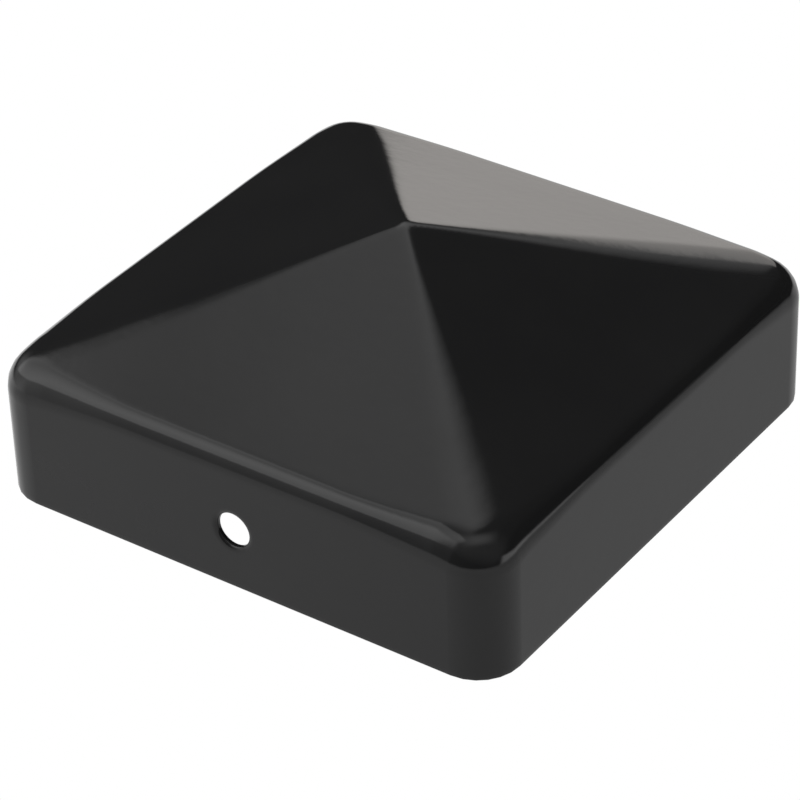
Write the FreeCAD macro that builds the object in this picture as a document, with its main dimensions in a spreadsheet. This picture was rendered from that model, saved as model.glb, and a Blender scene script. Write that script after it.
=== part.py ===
import FreeCAD, Part
import Sketcher
import math
import os

# Pyramid fence post cap, drawn in one piece from sheet steel and powder
# coated.  Millimetres, +Z up.  The origin is the centre of the open mouth, in
# the plane of the bottom rim.  The two fixing holes face -Y (front) and +Y
# (back).

os.makedirs("parts", exist_ok=True)
doc = FreeCAD.newDocument("PostCap")

# ---------------------------------------------------------------------------
# driving dimensions
# ---------------------------------------------------------------------------
ROWS = [
    # alias, value, what it is
    ("post_width", 70.0, "nominal width of the square post the cap fits"),
    ("post_clearance", 0.5, "clearance between post and skirt, each side"),
    ("sheet", 1.0, "coated sheet thickness"),
    ("skirt_height", 18.3, "rim to the sharp eave, before rounding"),
    ("crown_rise", 13.3, "sharp eave to the theoretical peak"),
    ("corner_inner", 4.8, "inside radius of the skirt's upright corners"),
    ("eave_inner", 2.7, "inside radius of the bend between skirt and crown"),
    ("peak_share", 0.02, "share of the base left as a blunt tip at the peak"),
    ("rim_round", 0.3, "rounding of the rim's outer edge"),
    ("hole_width", 4.6, "diameter of a fixing hole"),
    ("hole_height", 8.3, "rim to the centre of a fixing hole"),
]
sheet = doc.addObject("Spreadsheet::Sheet", "Dims")
sheet.Label = "Dims"
for row, (alias, value, note) in enumerate(ROWS, start=1):
    sheet.set("A%d" % row, alias)
    sheet.set("B%d" % row, "%g" % value)
    sheet.set("C%d" % row, note)
    sheet.setAlias("B%d" % row, alias)
doc.recompute()
V = {alias: value for alias, value, _ in ROWS}

# expressions used more than once
HALF_IN = "(Dims.post_width / 2 + Dims.post_clearance)"
HALF_OUT = "(Dims.post_width / 2 + Dims.post_clearance + Dims.sheet)"
CORNER_OUT = "(Dims.corner_inner + Dims.sheet)"
SLOPE = "atan(Dims.crown_rise / %s)" % HALF_OUT
# the inner crown runs parallel to the outer one, one sheet below it
EAVE_IN = "(Dims.skirt_height + Dims.sheet * (tan(%s) - 1 / cos(%s)))" % (SLOPE, SLOPE)
RISE_IN = "(Dims.crown_rise * %s / %s)" % (HALF_IN, HALF_OUT)

half_in = V["post_width"] / 2 + V["post_clearance"]
half_out = half_in + V["sheet"]
slope = math.atan(V["crown_rise"] / half_out)
eave_in = V["skirt_height"] + V["sheet"] * (math.tan(slope) - 1 / math.cos(slope))


def plane(body, role):
    """One of a body's own origin planes."""
    return [f for f in body.Origin.OriginFeatures if f.Role == role][0]


def rounded_square(body, name, half, radius, height, half_now, radius_now):
    """A rounded square sketch, centred on the axis, at a height.

    half, radius and height are expressions on the sheet; half_now and
    radius_now are their present values, which only start the sketch off.
    """
    s = body.newObject("Sketcher::SketchObject", name)
    s.AttachmentSupport = [(plane(body, "XY_Plane"), "")]
    s.MapMode = "FlatFace"
    h, r = half_now, radius_now
    c = h - r
    vec = FreeCAD.Vector
    z = vec(0, 0, 1)
    lines = [
        Part.LineSegment(vec(-c, -h, 0), vec(c, -h, 0)),
        Part.LineSegment(vec(h, -c, 0), vec(h, c, 0)),
        Part.LineSegment(vec(c, h, 0), vec(-c, h, 0)),
        Part.LineSegment(vec(-h, c, 0), vec(-h, -c, 0)),
    ]
    arcs = []
    for k, (x, y) in enumerate([(c, -c), (c, c), (-c, c), (-c, -c)]):
        start = (k - 1) * math.pi / 2
        arcs.append(Part.ArcOfCircle(Part.Circle(vec(x, y, 0), z, r), start, start + math.pi / 2))
    s.addGeometry(lines + arcs, False)

    con = Sketcher.Constraint
    for k in range(4):
        # side k runs into arc k, which runs into side k + 1
        s.addConstraint(con("Tangent", k, 2, 4 + k, 1))
        s.addConstraint(con("Tangent", 4 + k, 2, (k + 1) % 4, 1))
    s.addConstraint(con("Horizontal", 0))
    s.addConstraint(con("Vertical", 1))
    s.addConstraint(con("Horizontal", 2))
    s.addConstraint(con("Vertical", 3))
    for k in (1, 2, 3):
        s.addConstraint(con("Equal", 4, 4 + k))
    s.addConstraint(con("DistanceY", -1, 1, 2, 1, h))
    up = s.ConstraintCount - 1
    s.addConstraint(con("DistanceY", 0, 1, -1, 1, h))
    down = s.ConstraintCount - 1
    s.addConstraint(con("DistanceX", -1, 1, 1, 1, h))
    right = s.ConstraintCount - 1
    s.addConstraint(con("DistanceX", 3, 1, -1, 1, h))
    left = s.ConstraintCount - 1
    s.addConstraint(con("Radius", 4, r))
    rad = s.ConstraintCount - 1
    for index in (up, down, right, left):
        s.setExpression("Constraints[%d]" % index, half)
    s.setExpression("Constraints[%d]" % rad, radius)
    s.setExpression(".AttachmentOffset.Base.z", height)
    return s


def ring_edges(shape, height, half, tol=0.02):
    """The eight edges of a rounded square ring at a height and half width."""
    names = []
    for n, edge in enumerate(shape.Edges, start=1):
        box = edge.BoundBox
        if abs(box.ZMin - height) > tol or abs(box.ZMax - height) > tol:
            continue
        reach = max(abs(box.XMin), abs(box.XMax), abs(box.YMin), abs(box.YMax))
        if abs(reach - half) < tol:
            names.append("Edge%d" % n)
    return names


def tip(body, feature):
    body.Tip = feature
    doc.recompute()
    return feature.Shape


# ---------------------------------------------------------------------------
# the cap: one pressing
# ---------------------------------------------------------------------------
cap = doc.addObject("PartDesign::Body", "cap_shell")
cap.Label = "cap_shell"
doc.recompute()

# outside of the skirt
base = rounded_square(cap, "SkirtOutline", HALF_OUT, CORNER_OUT, "0", half_out, V["corner_inner"] + V["sheet"])
skirt = cap.newObject("PartDesign::Pad", "Skirt")
skirt.Profile = base
skirt.setExpression("Length", "Dims.skirt_height")
shape = tip(cap, skirt)

# outside of the crown: four flat faces that meet at the peak, with ridges that
# start sharp at the peak and widen to the skirt's corner radius
eave = rounded_square(
    cap, "EaveOutline", HALF_OUT, CORNER_OUT, "Dims.skirt_height", half_out, V["corner_inner"] + V["sheet"]
)
peak = rounded_square(
    cap,
    "PeakOutline",
    "%s * Dims.peak_share" % HALF_OUT,
    "%s * Dims.peak_share" % CORNER_OUT,
    "Dims.skirt_height + Dims.crown_rise * (1 - Dims.peak_share)",
    half_out * V["peak_share"],
    (V["corner_inner"] + V["sheet"]) * V["peak_share"],
)
crown = cap.newObject("PartDesign::AdditiveLoft", "Crown")
crown.Profile = eave
crown.Sections = [peak]
crown.Ruled = True
shape = tip(cap, crown)
solid_volume = shape.Volume

# the bend between skirt and crown, outside
bend = cap.newObject("PartDesign::Fillet", "EaveOutside")
bend.Base = (crown, ring_edges(shape, V["skirt_height"], half_out))
bend.setExpression("Radius", "Dims.eave_inner + Dims.sheet")
shape = tip(cap, bend)

# hollow of the skirt: the post's socket, open at the bottom
mouth = rounded_square(cap, "SocketOutline", HALF_IN, "Dims.corner_inner", "0", half_in, V["corner_inner"])
socket = cap.newObject("PartDesign::Pocket", "Socket")
socket.Profile = mouth
socket.Reversed = True
socket.setExpression("Length", EAVE_IN)
before = shape.Volume
shape = tip(cap, socket)
if shape.Volume > before - 1000:
    raise RuntimeError("the socket cut nothing")

# hollow of the crown, parallel to its outside
eave2 = rounded_square(cap, "InnerEaveOutline", HALF_IN, "Dims.corner_inner", EAVE_IN, half_in, V["corner_inner"])
peak2 = rounded_square(
    cap,
    "InnerPeakOutline",
    "%s * Dims.peak_share" % HALF_IN,
    "Dims.corner_inner * Dims.peak_share",
    "%s + %s * (1 - Dims.peak_share)" % (EAVE_IN, RISE_IN),
    half_in * V["peak_share"],
    V["corner_inner"] * V["peak_share"],
)
hollow = cap.newObject("PartDesign::SubtractiveLoft", "CrownHollow")
hollow.Profile = eave2
hollow.Sections = [peak2]
hollow.Ruled = True
before = shape.Volume
shape = tip(cap, hollow)
if shape.Volume > before - 1000:
    raise RuntimeError("the crown's hollow cut nothing")

# the bend between skirt and crown, inside
bend2 = cap.newObject("PartDesign::Fillet", "EaveInside")
bend2.Base = (hollow, ring_edges(shape, eave_in, half_in))
bend2.setExpression("Radius", "Dims.eave_inner")
shape = tip(cap, bend2)

# two fixing holes on one line, through the front and back of the skirt
drill = cap.newObject("Sketcher::SketchObject", "HoleOutline")
drill.AttachmentSupport = [(plane(cap, "XZ_Plane"), "")]
drill.MapMode = "FlatFace"
drill.addGeometry(
    Part.Circle(FreeCAD.Vector(0, V["hole_height"], 0), FreeCAD.Vector(0, 0, 1), V["hole_width"] / 2), False
)

drill.addConstraint(Sketcher.Constraint("PointOnObject", 0, 3, -2))
drill.addConstraint(Sketcher.Constraint("DistanceY", -1, 1, 0, 3, V["hole_height"]))
drill.setExpression("Constraints[1]", "Dims.hole_height")
drill.addConstraint(Sketcher.Constraint("Diameter", 0, V["hole_width"]))
drill.setExpression("Constraints[2]", "Dims.hole_width")
doc.recompute()
holes = cap.newObject("PartDesign::Pocket", "FixingHoles")
holes.Profile = drill
holes.Type = "ThroughAll"
holes.Midplane = True
before = shape.Volume
shape = tip(cap, holes)
lost = before - shape.Volume
want = 2 * math.pi * (V["hole_width"] / 2) ** 2 * V["sheet"]
if abs(lost - want) > 0.05 * want:
    raise RuntimeError("the fixing holes cut %.2f mm3, not %.2f" % (lost, want))

# the rim's outer edge, tumbled and coated
rim = cap.newObject("PartDesign::Fillet", "RimRound")
rim.Base = (holes, ring_edges(shape, 0.0, half_out))
rim.setExpression("Radius", "Dims.rim_round")
shape = tip(cap, rim)

# ---------------------------------------------------------------------------
# check, then write
# ---------------------------------------------------------------------------
doc.recompute()
for obj in doc.Objects:
    bad = [s for s in obj.State if s in ("Invalid", "Error")]
    if bad:
        raise RuntimeError("%s is %s" % (obj.Name, bad))
pieces = [cap]
for piece in pieces:
    shape = piece.Shape
    if shape.isNull() or not shape.isValid() or len(shape.Solids) != 1:
        raise RuntimeError("%s is not one valid solid" % piece.Label)
    print(piece.Label, "volume %.1f mm3" % shape.Volume, shape.BoundBox)
for piece in pieces:
    piece.Shape.exportStep(os.path.join("parts", piece.Label + ".step"))
print("written", len(pieces))
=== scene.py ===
import math

import bpy
import numpy as np
from mathutils import Matrix, Vector


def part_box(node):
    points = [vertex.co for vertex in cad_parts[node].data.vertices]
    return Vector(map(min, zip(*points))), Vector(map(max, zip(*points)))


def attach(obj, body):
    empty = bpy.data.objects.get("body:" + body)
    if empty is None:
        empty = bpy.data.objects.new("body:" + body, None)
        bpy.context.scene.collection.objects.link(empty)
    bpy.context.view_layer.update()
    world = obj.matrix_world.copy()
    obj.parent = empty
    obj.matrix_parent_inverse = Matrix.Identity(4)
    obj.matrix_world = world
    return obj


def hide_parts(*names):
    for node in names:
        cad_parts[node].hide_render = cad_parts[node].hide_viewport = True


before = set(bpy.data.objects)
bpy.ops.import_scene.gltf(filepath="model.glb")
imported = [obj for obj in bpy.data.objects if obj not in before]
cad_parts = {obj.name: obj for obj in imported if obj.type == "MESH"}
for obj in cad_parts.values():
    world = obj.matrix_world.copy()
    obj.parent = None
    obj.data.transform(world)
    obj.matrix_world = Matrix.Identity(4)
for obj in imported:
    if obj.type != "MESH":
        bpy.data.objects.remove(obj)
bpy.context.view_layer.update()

MM = 0.001

# ---------------------------------------------------------------------------
# sizes, in millimetres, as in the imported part
# ---------------------------------------------------------------------------
lo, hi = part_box("cap_shell")
HALF = (hi.x - lo.x) / 2 / MM          # half width outside, 36.5
SHEET = 1.0
CORNER = 5.8                           # outside radius of the upright corners
EAVE, EAVE_CORNER = 3.05, 4.8          # outside radius of the bend at the eave, along the sides and at the corners
SKIRT = 18.3                           # rim to the sharp eave
RISE = 13.3                            # sharp eave to the theoretical peak
HOLE_R, HOLE_Z = 2.3, 8.3
N = 60                                 # grid steps from the middle of a side to its corner
N_FLAT = 47                            # of those, how many lie on the flat
N_FILLET = 14
RIDGE_G = np.array([0, 0.25, 0.5, 0.75, 1.0, 1.3])         # sections of the crown, from the peak down
RIDGE = np.array([0, 1.9, 3.8, 5.3, 5.3, 5.4])             # and how round the ridges are there
SAG = 0.12                             # how hollow the slopes are
TIP = 0.7                              # how far the peak is rolled over
BLEND = 20.0                           # how far from a diagonal its fuller bend runs out


class Skin:
    """One side of the sheet: a rounded square skirt, a rolled eave, and a crown whose four flats meet at the peak.

    Each level section of the crown is a rounded square. g is its size as a share of the base: 0 at the peak, 1 at the
    sharp eave. The ridges are the corners of those sections, and how round they are is given against g.
    The eave is the path of a ball that touches skirt and crown.
    """

    def __init__(self, a, rc, hs, hp, rf, rf_corner, tip, ridge):
        self.a, self.rc, self.hs, self.hp, self.tip = a, rc, hs, hp, tip
        self.rf, self.rf_corner = rf, rf_corner
        self.c = a - rc
        self.fine = np.linspace(0, 1.3, 261)
        v = np.interp(self.fine, RIDGE_G, ridge)
        kernel = np.hanning(31)
        v = np.convolve(np.pad(v, 15, mode="edge"), kernel / kernel.sum(), "valid")
        self.rho_at = np.minimum(v, 0.9 * a * self.fine)
        self.slope_at = np.gradient(self.rho_at, self.fine)

    def rho(self, g):
        """Corner radius of the section of size g, and its slope."""
        return np.interp(g, self.fine, self.rho_at), np.interp(g, self.fine, self.slope_at)

    def bend(self, t):
        """Radius of the eave's bend: tighter along the sides, fullest on the diagonals."""
        u, k = np.abs(t), N_FLAT / N
        flat = np.minimum(u / k, 1) * self.c
        phi = np.clip((u - k) / (1 - k), 0, 1) * math.pi / 4
        away = self.c - flat + self.rc * (math.pi / 4 - phi)        # along the edge, from the diagonal
        w = np.clip(1 - away / BLEND, 0, 1)
        return self.rf + (self.rf_corner - self.rf) * w * w * (3 - 2 * w)

    def section(self, t, g):
        """Point and crown normal on the section of size g. t runs from -1 to 1 along the front, corner to corner."""
        t = np.asarray(t, float)
        k = N_FLAT / N
        u = np.abs(t)
        rho, slope = self.rho(g)
        c = self.a * g - rho
        flat = np.minimum(u / k, 1) * c
        phi = np.clip((u - k) / (1 - k), 0, 1) * math.pi / 4
        sg = np.where(t < 0, -1.0, 1.0)
        x = flat + rho * np.sin(phi)
        y = -(c + rho * np.cos(phi))
        # how fast the section's side moves outwards as g grows
        d = (self.a - slope) * (np.sin(phi) + np.cos(phi)) + slope
        d = np.where(u <= k, self.a, d)
        th = np.arctan2(self.hp, d)
        n = np.stack([sg * np.sin(phi) * np.sin(th), -np.cos(phi) * np.sin(th), np.cos(th)], -1)
        b = np.stack([sg * x, y, self.hs + self.hp * (1 - g) + 0 * x], -1)
        return b, n

    def wall_side(self, p):
        """Distance outside the rounded square, and its outward normal, at points xy of the front quarter."""
        sg = np.where(p[..., 0] < 0, -1.0, 1.0)
        x, y = np.abs(p[..., 0]), p[..., 1]
        dx, dy = x - self.c, -y - self.c
        corner = (dx > 0) & (dy > 0)
        r = np.hypot(np.maximum(dx, 0), np.maximum(dy, 0))
        dist = np.where(corner, r, dy) - self.rc
        rr = np.where(r > 1e-9, r, 1)
        nx = np.where(corner, sg * dx / rr, 0.0)
        ny = np.where(corner, -dy / rr, -1.0)
        return dist, np.stack([nx, ny, np.zeros_like(nx)], -1)

    def eave(self, t):
        """Ball centres, wall normals, crown normals, crown contact points and radii round the eave."""
        rf = self.bend(np.asarray(t, float))
        low, high = np.full(len(rf), 0.6), np.full(len(rf), 1.25)
        for _ in range(50):
            g = (low + high) / 2
            p, n = self.section(t, g)
            dist, _w = self.wall_side(p - rf[:, None] * n)
            inside = dist < -rf
            low, high = np.where(inside, g, low), np.where(inside, high, g)
        p, n = self.section(t, (low + high) / 2)
        centre = p - rf[:, None] * n
        _d, w = self.wall_side(centre)
        return centre, w, n, p, rf

    def height(self, x, y):
        """Crown height over a point, before the peak is rounded."""
        x, y = np.abs(x), np.abs(y)
        big, small = np.maximum(x, y), np.minimum(x, y)
        low, high = big / self.a, np.minimum((x + y) / self.a, 1.3)
        for _ in range(18):
            g = (low + high) / 2
            rho, _s = self.rho(g)
            c = self.a * g - rho
            reach = np.where(small > c, c + np.sqrt(np.maximum(rho * rho - (small - c) ** 2, 0)), self.a * g)
            outside = (big > reach) | (small - c > rho)
            low, high = np.where(outside, g, low), np.where(outside, high, g)
        g = (low + high) / 2
        return self.hs + self.hp * (1 - g), g

    def crown(self, x, y):
        """Crown height with the peak and the top of the ridges rolled over."""
        h0, g = self.height(x, y)
        size = self.tip * np.clip(1 - g / 0.8, 0, 1) ** 0.5
        total = np.zeros_like(h0)
        weight = 0.0
        for ring, count, w in ((0.0, 1, 1.0), (0.35, 8, 1.0), (0.7, 12, 0.8), (1.0, 16, 0.45)):
            for k in range(count):
                a = 2 * math.pi * (k + 0.5 * (ring > 0.5)) / count
                total += w * self.height(x + size * ring * math.cos(a), y + size * ring * math.sin(a))[0]
                weight += w
        return total / weight


slope = math.atan2(RISE, HALF)
OUT = Skin(HALF, CORNER, SKIRT, RISE, EAVE, EAVE_CORNER, TIP, RIDGE)
IN = Skin(
    HALF - SHEET,
    CORNER - SHEET,
    SKIRT + SHEET * (math.tan(slope) - 1 / math.cos(slope)),
    RISE * (HALF - SHEET) / HALF,
    EAVE - SHEET,
    EAVE_CORNER - SHEET,
    0.8,
    RIDGE * (CORNER - SHEET) / CORNER,
)


def turn(p, k):
    """Quarter turns about +Z."""
    c, s = [(1, 0), (0, 1), (-1, 0), (0, -1)][k]
    out = np.array(p, float)
    x, y = out[..., 0].copy(), out[..., 1].copy()
    out[..., 0], out[..., 1] = c * x - s * y, s * x + c * y
    return out


class Builder:
    def __init__(self):
        self.points, self.faces, self.count = [], [], 0

    def add(self, pts):
        pts = np.asarray(pts, float).reshape(-1, 3)
        self.points.append(pts)
        ids = np.arange(self.count, self.count + len(pts))
        self.count += len(pts)
        return ids

    def strip(self, a, b, flip=False):
        """Quads between two closed rings of ids."""
        n = len(a)
        for i in range(n):
            j = (i + 1) % n
            q = (a[i], a[j], b[j], b[i])
            self.faces.append(q[::-1] if flip else q)


def ring_of(fn):
    """A closed ring from a function of t on the front side: four sides, each without its last point."""
    t = np.arange(-N, N) / N
    return np.concatenate([turn(fn(t), k) for k in range(4)])


M = 8 * N                      # points in a ring
BLOCK = 10                     # the hole's square block is 20 steps wide and 20 high


def levels(skin):
    """Rings round the eave, as (M, 3) arrays: the bend's ball centres, wall normals and crown normals, the bend's
    foot on the skirt, and its radii as (M, 1).
    """
    cen = {}

    def f(which):
        def g(t):
            if "e" not in cen:
                cen["e"] = skin.eave(t)
            c, w, n, k, r = cen["e"]
            return {"c": c, "w": w, "n": n, "k": k}[which]
        return g

    centre, wall, crown = ring_of(f("c")), ring_of(f("w")), ring_of(f("n"))
    bend = np.tile(cen["e"][4], 4)[:, None]
    foot = centre + bend * wall
    return centre, wall, crown, foot, bend


def skirt_z(skin, step):
    """Heights of the skirt's rings below the eave; the hole's block takes 2 * BLOCK equal steps."""
    z0, z1 = HOLE_Z - BLOCK * step, HOLE_Z + BLOCK * step
    return z0, z1


b = Builder()
sides = {}
for name, skin, rim_r in (("out", OUT, 0.3), ("in", IN, 0.2)):
    centre, wall, crown_n, foot, bend = levels(skin)
    step = abs(foot[N + 1, 0] - foot[N, 0])
    z0, z1 = skirt_z(skin, step)
    rings, heights = [], []
    # rim rounding, from the flat of the rim up to the wall; the sheet lies inside one skin and outside the other
    to_sheet = -1 if name == "out" else 1
    for q in np.linspace(0, math.pi / 2, 5)[:-1]:
        p = foot + to_sheet * wall * rim_r * (1 - math.sin(q))
        p[:, 2] = rim_r * (1 - math.cos(q))
        rings.append(p)
        heights.append(None)
    for z in np.concatenate([np.linspace(rim_r, z0, 4)[:-1], np.linspace(z0, z1, 2 * BLOCK + 1)]):
        p = foot.copy()
        p[:, 2] = z
        rings.append(p)
        heights.append(z)
    first_block = len(rings) - (2 * BLOCK + 1)
    for w in (0.4, 0.75):
        p = foot.copy()
        p[:, 2] = z1 + w * (foot[:, 2] - z1)
        rings.append(p)
        heights.append(None)
    # the rolled eave
    cosang = np.clip((wall * crown_n).sum(1), -1, 1)
    ang = np.arccos(cosang)
    for q in np.linspace(0, 1, N_FILLET + 1):
        d = (np.sin((1 - q) * ang)[:, None] * wall + np.sin(q * ang)[:, None] * crown_n) / np.sin(ang)[:, None]
        rings.append(centre + bend * d)
        heights.append(None)
    sides[name] = dict(skin=skin, rings=rings, first=first_block, step=step, crown_n=crown_n)


def skirt_mesh(side, outward, dress):
    """Adds one skin. Returns the ids of its lowest ring and of the two hole edges."""
    skin, rings, first = side["skin"], side["rings"], side["first"]
    ids = [b.add(r) for r in rings]
    holes = []
    for k in (0, 2):                                    # front and back
        mid = (k * 2 * N + N)                           # index of the middle of that side
        cols = [(mid + j) % M for j in range(-BLOCK, BLOCK + 1)]
        rows = list(range(first, first + 2 * BLOCK + 1))
        # boundary of the block, anticlockwise seen from outside: bottom, right, top, left
        edge = [(rows[0], c) for c in cols[:-1]] + [(r, cols[-1]) for r in rows[:-1]]
        edge += [(rows[-1], c) for c in cols[:0:-1]] + [(r, cols[0]) for r in rows[:0:-1]]
        outer = np.array([rings[r][c] for r, c in edge])
        outer_ids = np.array([ids[r][c] for r, c in edge])
        holes.append(dress(outer, outer_ids, k))
    blocks = {(r, (k * 2 * N + N + j) % M) for k in (0, 2) for r in range(first, first + 2 * BLOCK) for j in range(-BLOCK, BLOCK)}
    for r in range(len(rings) - 1):
        for i in range(M):
            if (r, i) in blocks:
                continue
            j = (i + 1) % M
            q = (ids[r][i], ids[r][j], ids[r + 1][j], ids[r + 1][i])
            b.faces.append(q if outward else q[::-1])
    return ids[0], ids[-1], holes


def hole_dress(outward):
    """Rings from the square block in to the hole: flat sheet, then the edge that the punch drew in."""
    def dress(outer, outer_ids, k):
        flat = turn(outer, (4 - k) % 4)                 # back to the front side
        y = flat[0, 1]
        ang = np.arctan2(flat[:, 2] - HOLE_Z, flat[:, 0])
        roll, depth = (0.75, 0.45) if outward else (0.36, 0.30)
        inward = 1.0 if outward else -1.0               # towards the sheet's middle, along +Y
        start = HOLE_R + roll
        last = outer_ids
        steps = []
        for w in (0.72, 0.5, 0.32, 0.17, 0.07):
            xz = (1 - w) * np.stack([start * np.cos(ang), HOLE_Z + start * np.sin(ang)], -1) + w * flat[:, [0, 2]]
            steps.append((xz, 0.0))
        for q in np.linspace(0, math.pi / 2, 8):
            r = HOLE_R + roll * (1 - math.sin(q))
            xz = np.stack([r * np.cos(ang), HOLE_Z + r * np.sin(ang)], -1)
            steps.append((xz, depth * (1 - math.cos(q))))
        for xz, deep in steps:
            p = np.stack([xz[:, 0], np.full(len(xz), y + inward * deep), xz[:, 1]], -1)
            ids = b.add(turn(p, k))
            b.strip(last, ids, flip=not outward)
            last = ids
        return last, b.points[-1]
    return dress


rim_out, top_out, holes_out = skirt_mesh(sides["out"], True, hole_dress(True))
rim_in, top_in, holes_in = skirt_mesh(sides["in"], False, hole_dress(False))

# rim: the flat between the two roundings
p_out, p_in = sides["out"]["rings"][0], sides["in"]["rings"][0]
last = rim_out
for w in (0.33, 0.67):
    ids = b.add((1 - w) * p_out + w * p_in)
    b.strip(last, ids, flip=True)
    last = ids
b.strip(last, rim_in, flip=True)

# the hole's wall, from the outer edge to the inner one
for (ida, pa), (idb, pb) in zip(holes_out, holes_in):
    # inner ring points may start elsewhere, so both have the same angles by construction
    last = ida
    for w in (0.25, 0.5, 0.75):
        ids = b.add((1 - w) * pa + w * pb)
        b.strip(last, ids)
        last = ids
    b.strip(last, idb)


def crown_mesh(side, top_ids, outward):
    """The crown, as square rings that shrink to the peak."""
    skin, edge = side["skin"], side["rings"][-1]
    peak = np.array([0, 0, skin.hs + skin.hp])
    t_all = np.arange(-N, N + 1) / N
    c, w, n, contact, _r = skin.eave(t_all)
    prev_ids, prev = top_ids, None
    rings = {N: top_ids}
    for k in range(N - 1, 0, -1):
        t = np.arange(-k, k) / k
        # contact point of each t by interpolating along the eave (exact at grid lines)
        cx = np.interp(t, t_all, contact[:, 0])
        cy = np.interp(t, t_all, contact[:, 1])
        front = np.stack([cx, cy, np.zeros_like(cx)], -1) * (k / N)
        front[:, 2] = skin.crown(front[:, 0], front[:, 1])
        rings[k] = b.add(np.concatenate([turn(front, q) for q in range(4)]))
    z = skin.crown(np.zeros(1), np.zeros(1))[0]
    rings[0] = b.add([[0, 0, z]])

    def at(k, side_no, j):
        """Id of ring k's point j, from -k to k, on a side."""
        if k == 0:
            return rings[0][0]
        i = side_no * 2 * k + (j + k)
        return rings[k][i % (8 * k)]

    for k in range(N, 0, -1):
        for s in range(4):
            for j in range(-k, k):
                a0, a1 = at(k, s, j), at(k, s, j + 1)
                # inner neighbours on ring k - 1
                if j == -k:
                    continue
                if j == k - 1:
                    continue
                c0, c1 = at(k - 1, s, j), at(k - 1, s, j + 1)
                q = (a0, a1, c1, c0)
                b.faces.append(q if outward else q[::-1])
            # the corner quad of this side's end: last two of this side, first two of the next
            a0, a1 = at(k, s, k - 1), at(k, s, k)
            a2 = at(k, (s + 1) % 4, -k + 1)
            c0 = at(k - 1, s, k - 1)
            q = (a0, a1, a2, c0)
            b.faces.append(q if outward else q[::-1])


crown_mesh(sides["out"], top_out, True)
crown_mesh(sides["in"], top_in, False)

verts = np.concatenate(b.points)


def relief(v):
    """The press lets the four slopes spring back a little hollow."""
    v = v.copy()
    x, y = v[:, 0] / HALF, v[:, 1] / HALF
    g = np.minimum((np.abs(x) ** 12 + np.abs(y) ** 12) ** (1 / 12), 1)
    v[:, 2] -= SAG * np.sin(math.pi * g) * np.clip((v[:, 2] - SKIRT + 4) / 4, 0, 1)
    return v


verts = relief(verts) * MM
mesh = bpy.data.meshes.new("post_cap")
used = np.unique(np.concatenate([np.array(f) for f in b.faces]))        # the holes' blocks leave points over
place = np.zeros(len(verts), int)
place[used] = np.arange(len(used))
mesh.from_pydata(verts[used].tolist(), [], [tuple(int(place[i]) for i in f) for f in b.faces])
mesh.validate(verbose=False)
mesh.update()
mesh.polygons.foreach_set("use_smooth", [True] * len(mesh.polygons))
cap = bpy.data.objects.new("post_cap", mesh)
bpy.context.scene.collection.objects.link(cap)
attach(cap, "root")
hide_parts("cap_shell")

# ---------------------------------------------------------------------------
# black powder coat
# ---------------------------------------------------------------------------


def node(tree, kind, **values):
    n = tree.nodes.new(kind)
    for k, v in values.items():
        if hasattr(n, k):
            setattr(n, k, v)
        else:
            n.inputs[k.replace("_", " ")].default_value = v
    return n


def powder_coat():
    m = bpy.data.materials.new("black_powder_coat")
    m.use_nodes = True
    t = m.node_tree
    t.nodes.clear()
    link = t.links.new
    out = node(t, "ShaderNodeOutputMaterial")
    p = node(t, "ShaderNodeBsdfPrincipled")
    p.inputs["IOR"].default_value = 1.42
    p.inputs["Metallic"].default_value = 0.0
    link(p.outputs["BSDF"], out.inputs["Surface"])
    where = node(t, "ShaderNodeTexCoord")
    cloud = node(t, "ShaderNodeTexNoise")
    cloud.inputs["Scale"].default_value = 60
    cloud.inputs["Detail"].default_value = 4
    link(where.outputs["Object"], cloud.inputs["Vector"])
    ramp = node(t, "ShaderNodeValToRGB")
    ramp.color_ramp.elements[0].position, ramp.color_ramp.elements[1].position = 0.3, 0.7
    ramp.color_ramp.elements[0].color = (0.0172, 0.0173, 0.0178, 1)
    ramp.color_ramp.elements[1].color = (0.0202, 0.0202, 0.0204, 1)
    link(cloud.outputs["Fac"], ramp.inputs["Fac"])
    link(ramp.outputs["Color"], p.inputs["Base Color"])
    rough = node(t, "ShaderNodeMapRange")
    rough.inputs["From Min"].default_value, rough.inputs["From Max"].default_value = 0.3, 0.7
    rough.inputs["To Min"].default_value, rough.inputs["To Max"].default_value = 0.075, 0.095
    link(cloud.outputs["Fac"], rough.inputs["Value"])
    link(rough.outputs["Result"], p.inputs["Roughness"])
    # long waves of the sheet, then the coat's orange peel on top of them
    wave = node(t, "ShaderNodeTexNoise")
    wave.inputs["Scale"].default_value = 75
    wave.inputs["Detail"].default_value = 1
    link(where.outputs["Object"], wave.inputs["Vector"])
    long = node(t, "ShaderNodeBump")
    long.inputs["Strength"].default_value = 0.22
    long.inputs["Distance"].default_value = 0.00012
    link(wave.outputs["Fac"], long.inputs["Height"])
    peel = node(t, "ShaderNodeTexNoise")
    peel.inputs["Scale"].default_value = 620
    peel.inputs["Detail"].default_value = 2
    link(where.outputs["Object"], peel.inputs["Vector"])
    bump = node(t, "ShaderNodeBump")
    bump.inputs["Strength"].default_value = 0.22
    bump.inputs["Distance"].default_value = 0.00004
    link(peel.outputs["Fac"], bump.inputs["Height"])
    link(long.outputs["Normal"], bump.inputs["Normal"])
    link(bump.outputs["Normal"], p.inputs["Normal"])
    return m


mesh.materials.append(powder_coat())

# ---------------------------------------------------------------------------
# floor, light, camera
# ---------------------------------------------------------------------------
scene = bpy.context.scene
scene.view_settings.view_transform = "Standard"
scene.view_settings.look = "None"

floor_mesh = bpy.data.meshes.new("floor")
S = 3.0
floor_mesh.from_pydata([(-S, -S, -0.0002), (S, -S, -0.0002), (S, S, -0.0002), (-S, S, -0.0002)], [], [(0, 1, 2, 3)])
floor = bpy.data.objects.new("floor", floor_mesh)
scene.collection.objects.link(floor)


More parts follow.
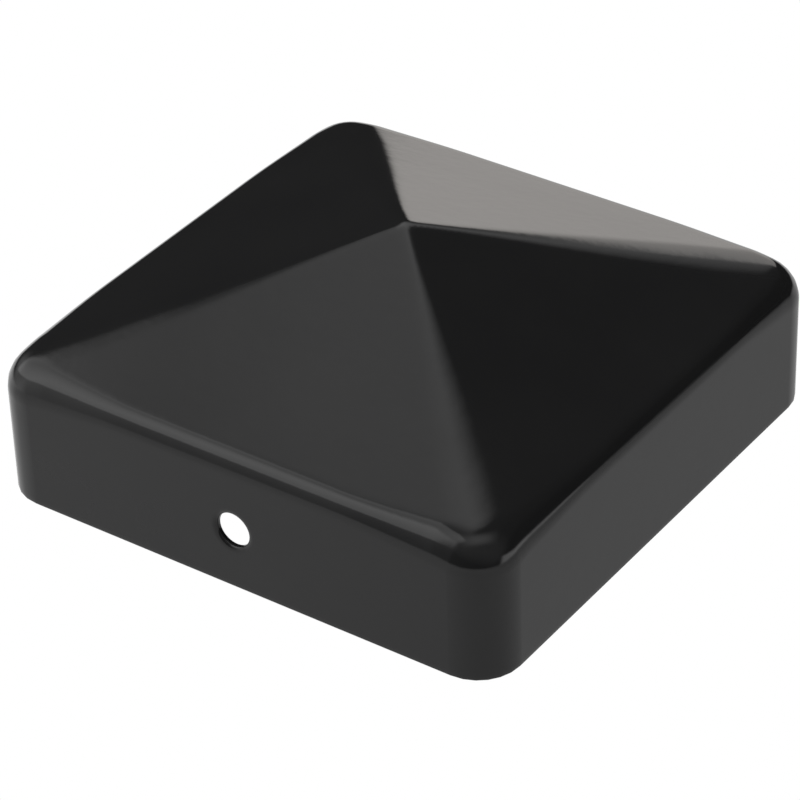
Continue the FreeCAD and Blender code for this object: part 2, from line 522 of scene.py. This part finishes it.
def floor_paint():
    """White to the eye. What the cap reflects of it is painted light and shade: it dims towards the back right, where
    the cap's shadow side lies, it is painted brighter beyond the back left and out to the right, and it ends a hand's
    width out.
    """
    m = bpy.data.materials.new("floor_paint")
    m.use_nodes = True
    t = m.node_tree
    t.nodes.clear()
    link = t.links.new
    out = node(t, "ShaderNodeOutputMaterial")
    where = node(t, "ShaderNodeTexCoord")
    # painted shade: in reflections the floor's glow dims towards the back right, standing in for the floor on the
    # cap's shadow side
    along = node(t, "ShaderNodeVectorMath")
    along.operation = "DOT_PRODUCT"
    along.inputs[1].default_value = (0.588, 0.809, 0)
    link(where.outputs["Object"], along.inputs[0])
    painted_shade_falloff = node(t, "ShaderNodeMapRange")
    painted_shade_falloff.inputs["From Min"].default_value, painted_shade_falloff.inputs["From Max"].default_value = -0.06, 0.06
    painted_shade_falloff.inputs["To Min"].default_value, painted_shade_falloff.inputs["To Max"].default_value = 0.718, 0.425
    link(along.outputs["Value"], painted_shade_falloff.inputs["Value"])
    # painted light: a brighter patch on the floor beyond the back left, seen only in reflections
    back = node(t, "ShaderNodeVectorMath")
    back.operation = "DOT_PRODUCT"
    back.inputs[1].default_value = (-0.707, 0.707, 0)
    link(where.outputs["Object"], back.inputs[0])
    painted_light_back_left = node(t, "ShaderNodeMapRange")
    painted_light_back_left.inputs["From Min"].default_value, painted_light_back_left.inputs["From Max"].default_value = 0.018, 0.045
    painted_light_back_left.inputs["To Min"].default_value, painted_light_back_left.inputs["To Max"].default_value = 0.0, 0.35
    link(back.outputs["Value"], painted_light_back_left.inputs["Value"])
    # painted light: a brighter patch on the floor out to the right, seen only in reflections
    side = node(t, "ShaderNodeVectorMath")
    side.operation = "DOT_PRODUCT"
    side.inputs[1].default_value = (0.95, 0.3, 0)
    link(where.outputs["Object"], side.inputs[0])
    painted_light_right = node(t, "ShaderNodeMapRange")
    painted_light_right.inputs["From Min"].default_value, painted_light_right.inputs["From Max"].default_value = 0.030, 0.062
    painted_light_right.inputs["To Min"].default_value, painted_light_right.inputs["To Max"].default_value = 0.0, 0.14
    link(side.outputs["Value"], painted_light_right.inputs["Value"])
    part = node(t, "ShaderNodeMath")
    part.operation = "ADD"
    link(painted_shade_falloff.outputs["Result"], part.inputs[0])
    link(painted_light_right.outputs["Result"], part.inputs[1])
    both = node(t, "ShaderNodeMath")
    both.operation = "ADD"
    link(part.outputs["Value"], both.inputs[0])
    link(painted_light_back_left.outputs["Result"], both.inputs[1])
    lit = node(t, "ShaderNodeEmission")
    link(both.outputs["Value"], lit.inputs["Strength"])
    clear = node(t, "ShaderNodeBsdfTransparent")
    reach = node(t, "ShaderNodeVectorMath")
    reach.operation = "LENGTH"
    link(where.outputs["Object"], reach.inputs[0])
    end = node(t, "ShaderNodeMapRange")
    end.inputs["From Min"].default_value, end.inputs["From Max"].default_value = 0.12, 0.26
    link(reach.outputs["Value"], end.inputs["Value"])
    near = node(t, "ShaderNodeMixShader")
    link(end.outputs["Result"], near.inputs["Fac"])
    link(lit.outputs["Emission"], near.inputs[1])
    link(clear.outputs["BSDF"], near.inputs[2])
    white = node(t, "ShaderNodeEmission")
    white.inputs["Strength"].default_value = 1.0
    path = node(t, "ShaderNodeLightPath")
    seen = node(t, "ShaderNodeMixShader")
    link(path.outputs["Is Camera Ray"], seen.inputs["Fac"])
    link(near.outputs["Shader"], seen.inputs[1])
    link(white.outputs["Emission"], seen.inputs[2])
    geo = node(t, "ShaderNodeNewGeometry")
    mix = node(t, "ShaderNodeMixShader")
    link(geo.outputs["Backfacing"], mix.inputs["Fac"])
    link(seen.outputs["Shader"], mix.inputs[1])
    link(clear.outputs["BSDF"], mix.inputs[2])
    link(mix.outputs["Shader"], out.inputs["Surface"])
    return m


floor_mesh.materials.append(floor_paint())

world = bpy.data.worlds.new("studio")
scene.world = world
world.use_nodes = True
wt = world.node_tree
wt.nodes.clear()
wl = wt.links.new
w_out = node(wt, "ShaderNodeOutputWorld")
coord = node(wt, "ShaderNodeTexCoord")


def math_node(op, a, b=None, c=None, clamp=False):
    n = wt.nodes.new("ShaderNodeMath")
    n.operation = op
    n.use_clamp = clamp
    for i, v in enumerate((a, b, c)):
        if v is None:
            continue
        if isinstance(v, (int, float)):
            n.inputs[i].default_value = v
        else:
            wl(v, n.inputs[i])
    return n.outputs[0]


def edge(value, low, high):
    n = wt.nodes.new("ShaderNodeMapRange")
    n.interpolation_type = "SMOOTHSTEP"
    n.clamp = True
    n.inputs["From Min"].default_value = low
    n.inputs["From Max"].default_value = high
    wl(value, n.inputs["Value"])
    return n.outputs["Result"]


def dot(direction):
    n = wt.nodes.new("ShaderNodeVectorMath")
    n.operation = "DOT_PRODUCT"
    wl(coord.outputs["Generated"], n.inputs[0])
    d = Vector(direction).normalized()
    n.inputs[1].default_value = d
    return n.outputs["Value"]


def softbox(azimuth, elevation, tilt, half_w, half_h, soft_w, soft_h, strength):
    """A soft rectangle of light on the sky: where it hangs, and its half sizes and edge softness in tangent units."""
    a, e, r = map(math.radians, (azimuth, elevation, tilt))
    d = Vector((math.sin(a) * math.cos(e), math.cos(a) * math.cos(e), math.sin(e)))
    right = d.cross(Vector((0, 0, 1))).normalized()
    upv = right.cross(d)
    right, upv = right * math.cos(r) + upv * math.sin(r), upv * math.cos(r) - right * math.sin(r)
    f = dot(d)
    ahead = edge(f, 0.0, 0.05)
    safe = math_node("MAXIMUM", f, 0.05)
    u = math_node("ABSOLUTE", math_node("DIVIDE", dot(right), safe))
    v = math_node("ABSOLUTE", math_node("DIVIDE", dot(upv), safe))
    eu = math_node("SUBTRACT", 1.0, edge(u, half_w - soft_w, half_w + soft_w))
    ev = math_node("SUBTRACT", 1.0, edge(v, half_h - soft_h, half_h + soft_h))
    return math_node("MULTIPLY", math_node("MULTIPLY", math_node("MULTIPLY", eu, ev), ahead), strength)


ROOM = 0.016                           # the unlit room
parts = [
    softbox(-39.6, 50.0, -63.8, 0.455, 0.273, 0.591, 0.121, 1.43),    # overhead, left of the cap
    softbox(-111.7, 43.3, -25.9, 0.662, 0.410, 0.133, 0.043, 1.13),    # key, front left
    softbox(-29.7, -10.7, -30.1, 0.098, 0.727, 0.021, 0.047, 1.06),    # strip, behind
    softbox(-123.1, 6.9, 7.1, 0.295, 1.198, 0.667, 0.122, 1.34),    # fill, front left, down to the floor
    softbox(74.2, -19.6, 17.2, 0.404, 0.479, 0.124, 0.080, 1.73),    # low, right
    softbox(14.4, 62.8, 18.8, 0.936, 0.711, 0.272, 0.101, 0.03),    # the wall behind, right
    softbox(127.7, 49.7, 32.3, 1.226, 0.656, 0.600, 0.567, 0.23),    # front right, faint
]
# these hang where only the back, the left and the top of the cap reflect them
parts += [
    softbox(130, 76, 0, 0.45, 0.22, 0.40, 0.20, 0.80),       # over the front right
    softbox(-84, 16, 0, 0.24, 0.20, 0.20, 0.16, 0.55),       # low, left
]
strip = parts.pop(2)
total = ROOM
for s in parts:
    total = math_node("ADD", total, s)
path = node(wt, "ShaderNodeLightPath")
bg = node(wt, "ShaderNodeBackground")
bg.inputs["Color"].default_value = (1, 1, 1, 1)
wl(total, bg.inputs["Strength"])
warm = node(wt, "ShaderNodeBackground")
warm.inputs["Color"].default_value = (1.04, 0.995, 0.955, 1)
wl(strip, warm.inputs["Strength"])
both = node(wt, "ShaderNodeAddShader")
wl(bg.outputs["Background"], both.inputs[0])
wl(warm.outputs["Background"], both.inputs[1])
white = node(wt, "ShaderNodeBackground")
white.inputs["Strength"].default_value = 1.0
white.inputs["Color"].default_value = (1, 1, 1, 1)
wmix = node(wt, "ShaderNodeMixShader")
wl(path.outputs["Is Camera Ray"], wmix.inputs["Fac"])
wl(both.outputs["Shader"], wmix.inputs[1])
wl(white.outputs["Background"], wmix.inputs[2])
wl(wmix.outputs["Shader"], w_out.inputs["Surface"])


def aim(az, el, roll, yaw, pitch, distance, lens):
    """A camera at an azimuth and elevation from the rim's centre, turned off it by small tangents and rolled."""
    a, e, r = map(math.radians, (az, el, roll))
    back = Vector((math.sin(a) * math.cos(e), -math.cos(a) * math.cos(e), math.sin(e)))
    right = (-back).cross(Vector((0, 0, 1))).normalized()
    up = right.cross(-back)
    fwd = (-back + right * yaw + up * pitch).normalized()
    right = (right - fwd * right.dot(fwd)).normalized()
    up = right.cross(fwd)
    r2 = right * math.cos(r) + up * math.sin(r)
    u2 = -right * math.sin(r) + up * math.cos(r)
    m = Matrix((
        (r2.x, u2.x, -fwd.x, 0),
        (r2.y, u2.y, -fwd.y, 0),
        (r2.z, u2.z, -fwd.z, 0),
        (0, 0, 0, 1),
    ))
    data = bpy.data.cameras.new("camera")
    data.sensor_width = 36
    data.lens = lens
    data.clip_start, data.clip_end = 0.01, 20
    data.dof.use_dof = False
    o = bpy.data.objects.new("camera", data)
    scene.collection.objects.link(o)
    o.matrix_world = Matrix.Translation(back * distance) @ m
    scene.camera = o
    return o


aim(35.834, 35.309, -1.898, -0.00284, 0.01031, 6.1986 * 2 * HALF * MM, 162.91)
